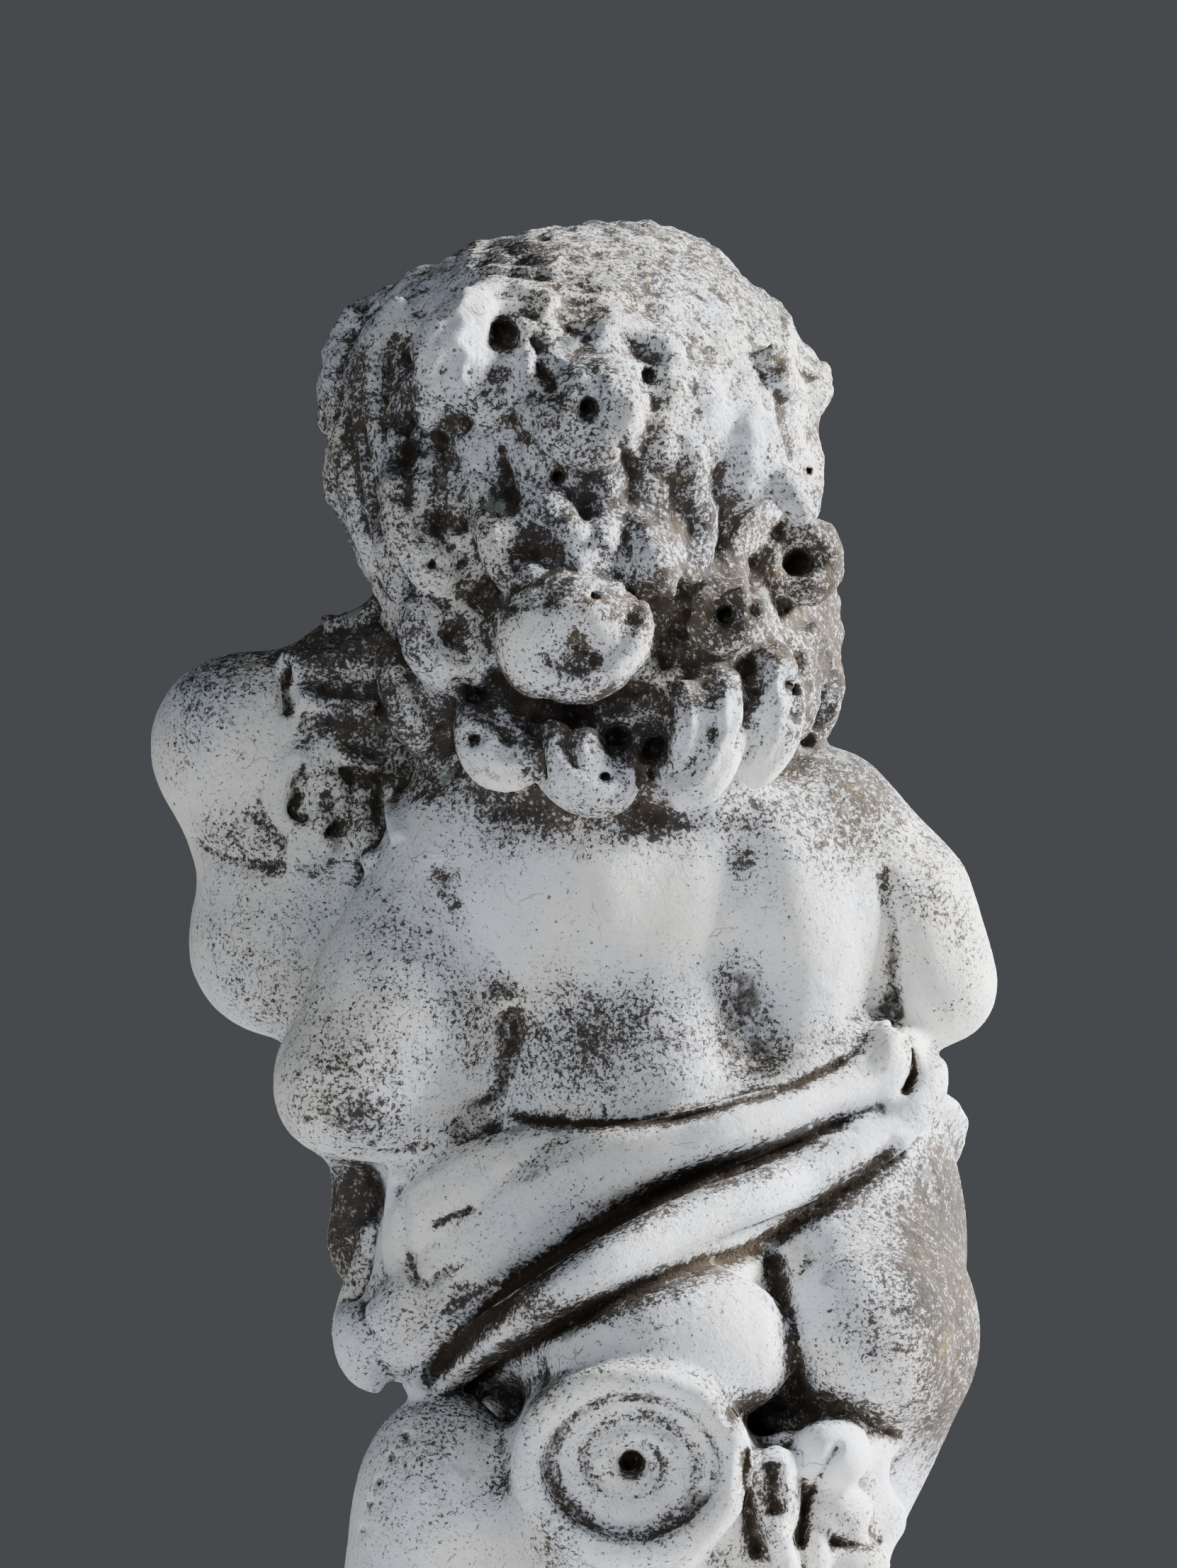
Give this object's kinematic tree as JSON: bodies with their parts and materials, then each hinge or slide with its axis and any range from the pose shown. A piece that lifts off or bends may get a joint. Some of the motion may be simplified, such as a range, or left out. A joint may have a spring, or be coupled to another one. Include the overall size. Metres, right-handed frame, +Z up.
{
  "type": "stone putto statue",
  "caption": "Standing stone putto with curled hair and a slanting hip drape, holding a lobed shield against its left side and backed by a scroll support on a low plinth.",
  "frame": {"origin": "middle of the plinth's flat underside", "axes": "+Z up; the figure faces -Y and its back faces +Y; its own left side, with the shield, is +X"},
  "size_m": [0.3713, 0.262, 0.8586],
  "materials": {
    "weathered_stone": "matt pale stone, weathered, with dark lichen and dirt in the carving"
  },
  "bodies": {
    "root": {"putto_statue": "weathered_stone"}
  },
  "joints": []
}
